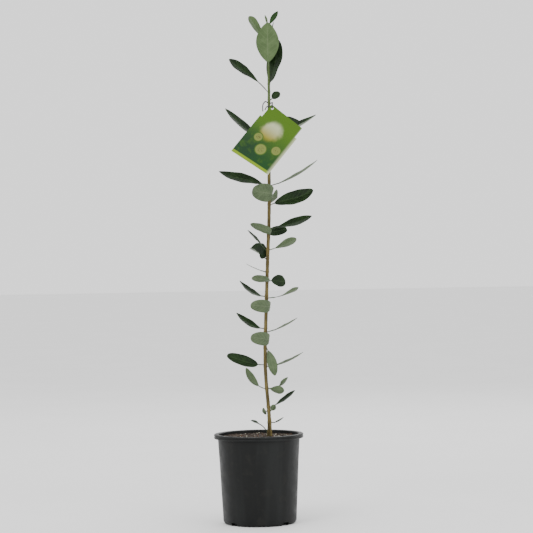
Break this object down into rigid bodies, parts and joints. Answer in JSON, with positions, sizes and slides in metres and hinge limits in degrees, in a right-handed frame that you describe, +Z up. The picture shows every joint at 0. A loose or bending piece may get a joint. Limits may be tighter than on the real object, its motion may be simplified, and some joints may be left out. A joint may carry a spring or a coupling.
{
  "type": "potted pineapple guava",
  "caption": "Young pineapple guava, one thin upright stem with leathery leaves in opposite pairs, in a black nursery pot with a hang tag.",
  "frame": {"origin": "centre of the pot's flat underside", "axes": "+Z up along the plant, +X to the right and +Y to the back as the pot is seen from the front, with the tag facing -Y"},
  "size_m": [0.1815, 0.1504, 0.8592],
  "materials": {
    "pot_plastic": "satin",
    "mix": "matte",
    "bark": "matte",
    "leaf": "satin",
    "young_leaf": "satin",
    "card": "gloss",
    "tie_wire": "matte"
  },
  "bodies": {
    "root": {"pot": "pot_plastic", "potting_mix": "mix", "trunk": "bark", "tag": "card", "tag_tie": "tie_wire", "leaf_01_left": "leaf", "leaf_01_right": "leaf", "leaf_02_left": "leaf", "leaf_02_front": "leaf", "leaf_02_right": "leaf", "leaf_03_left": "leaf", "leaf_03_front": "leaf", "leaf_03_right": "leaf", "leaf_04_left": "leaf", "leaf_04_right": "leaf", "leaf_05_front": "leaf", "leaf_06_front": "leaf", "leaf_06_back": "leaf", "leaf_07_left": "leaf", "leaf_07_right": "leaf", "leaf_08_front": "leaf", "leaf_08_back": "leaf", "leaf_09_left": "leaf", "leaf_09_right": "leaf", "leaf_10_front": "leaf", "leaf_10_back": "leaf", "leaf_11_left": "leaf", "leaf_12_left": "leaf", "leaf_13_left": "leaf", "leaf_13_right": "leaf", "leaf_14_front": "leaf", "leaf_14_back": "leaf", "leaf_15_right": "leaf", "leaf_16_right": "leaf", "leaf_17_front": "leaf", "leaf_17_right": "leaf", "leaf_17_back": "leaf", "leaf_18_left": "leaf", "leaf_18_right": "leaf", "leaf_19_back": "leaf", "leaf_20_left": "leaf", "leaf_20_right": "leaf", "leaf_21_right": "leaf", "leaf_21_left": "leaf", "leaf_22_right": "leaf", "leaf_23_left": "leaf", "leaf_23_right": "leaf", "leaf_24_front": "young_leaf", "leaf_24_back": "young_leaf", "leaf_25_left": "young_leaf", "leaf_25_right": "young_leaf", "leaf_26_right": "young_leaf", "leaf_26_left": "young_leaf"}
  },
  "joints": []
}
